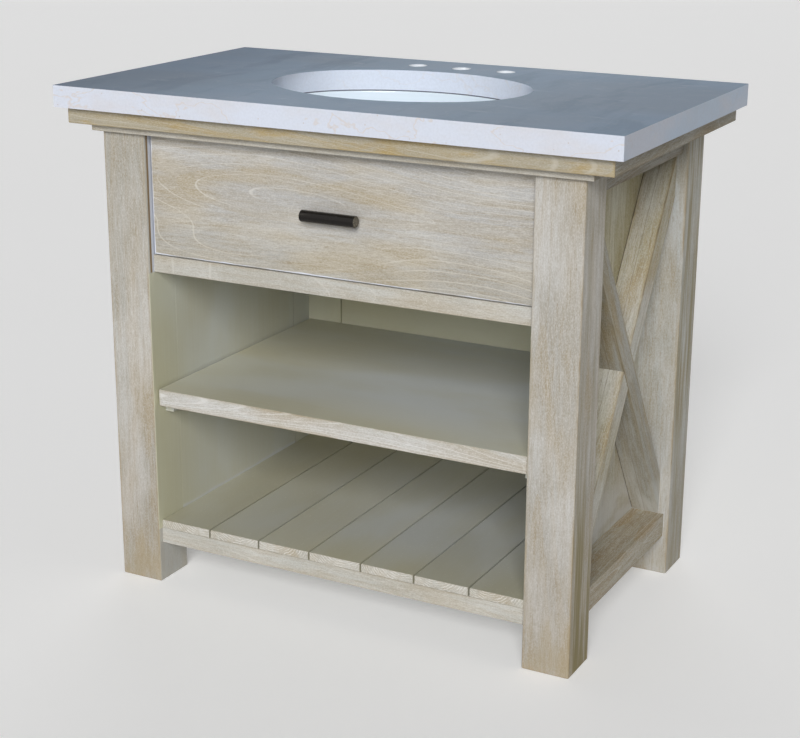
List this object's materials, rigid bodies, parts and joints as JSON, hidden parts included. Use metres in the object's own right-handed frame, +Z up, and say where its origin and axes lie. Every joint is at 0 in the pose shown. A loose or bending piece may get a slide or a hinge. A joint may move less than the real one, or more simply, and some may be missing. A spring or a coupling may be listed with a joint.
{
  "type": "vanity unit",
  "caption": "Farmhouse vanity unit: stone top with an oval undermount basin, square posts, X-braced sides, a wide drawer on telescopic slides, a middle shelf and a planked deck.",
  "frame": {"origin": "on the floor under the middle of the stone top", "axes": "+X to the right as seen from the front, +Y to the wall, +Z up"},
  "size_m": [1.044, 0.608, 0.914],
  "materials": {
    "stone": "honed",
    "basin_glaze": "gloss",
    "limed_wood": "limed, matt",
    "painted_wood": "painted, matt",
    "bronze": "dark bronze",
    "zinc_steel": "zinc plated"
  },
  "bodies": {
    "cabinet": {"countertop": "stone", "sink_basin": "basin_glaze", "basin_clips": "zinc_steel", "slide_outer_left": "zinc_steel", "slide_outer_right": "zinc_steel", "side_panel_left": "painted_wood", "side_panel_right": "painted_wood", "back_panel": "painted_wood", "back_stile_left": "painted_wood", "back_stile_right": "painted_wood", "back_top_rail": "painted_wood", "middle_shelf": "limed_wood", "shelf_cleat_left": "limed_wood", "shelf_cleat_right": "limed_wood", "plank_1": "painted_wood", "plank_2": "painted_wood", "plank_3": "painted_wood", "plank_4": "painted_wood", "plank_5": "painted_wood", "plank_6": "painted_wood", "plank_7": "painted_wood", "cornice_front": "limed_wood", "cornice_left": "limed_wood", "cornice_right": "limed_wood", "bed_mould_front": "limed_wood", "bed_mould_left": "limed_wood", "bed_mould_right": "limed_wood", "post_front_left": "limed_wood", "post_front_right": "limed_wood", "post_rear_left": "limed_wood", "post_rear_right": "limed_wood", "front_top_rail": "limed_wood", "drawer_rail": "limed_wood", "side_top_rail_left": "limed_wood", "side_top_rail_right": "limed_wood", "side_bottom_rail_left": "limed_wood", "side_bottom_rail_right": "limed_wood", "brace_long_left": "limed_wood", "brace_long_right": "limed_wood", "brace_upper_left": "limed_wood", "brace_upper_right": "limed_wood", "brace_lower_left": "limed_wood", "brace_lower_right": "limed_wood", "bottom_front_rail": "limed_wood", "bottom_rear_rail": "limed_wood", "centre_bearer": "limed_wood"},
    "drawer": {"drawer_front": "limed_wood", "drawer_inner_front": "painted_wood", "drawer_side_left": "painted_wood", "drawer_side_right": "painted_wood", "drawer_backs": "painted_wood", "drawer_notch": "painted_wood", "drawer_bottom": "painted_wood", "slide_inner_left": "zinc_steel", "slide_inner_right": "zinc_steel", "pull_bar": "bronze", "pull_standoffs": "bronze", "pull_screws": "zinc_steel"},
    "slide_mid_left": {"slide_middle_left": "zinc_steel"},
    "slide_mid_right": {"slide_middle_right": "zinc_steel"}
  },
  "joints": [
    {"name": "drawer_slide", "type": "slide", "parent": "cabinet", "child": "drawer", "axis": [0, -1, 0], "range_m": [0, 0.35]},
    {"name": "middle_rail_left", "type": "slide", "parent": "cabinet", "child": "slide_mid_left", "axis": [0, -1, 0], "range_m": [0, 0.175]},
    {"name": "middle_rail_right", "type": "slide", "parent": "cabinet", "child": "slide_mid_right", "axis": [0, -1, 0], "range_m": [0, 0.175]}
  ],
  "couplings": [
    {"joint": "middle_rail_left", "follows": "drawer_slide", "ratio": 0.5},
    {"joint": "middle_rail_right", "follows": "drawer_slide", "ratio": 0.5}
  ]
}
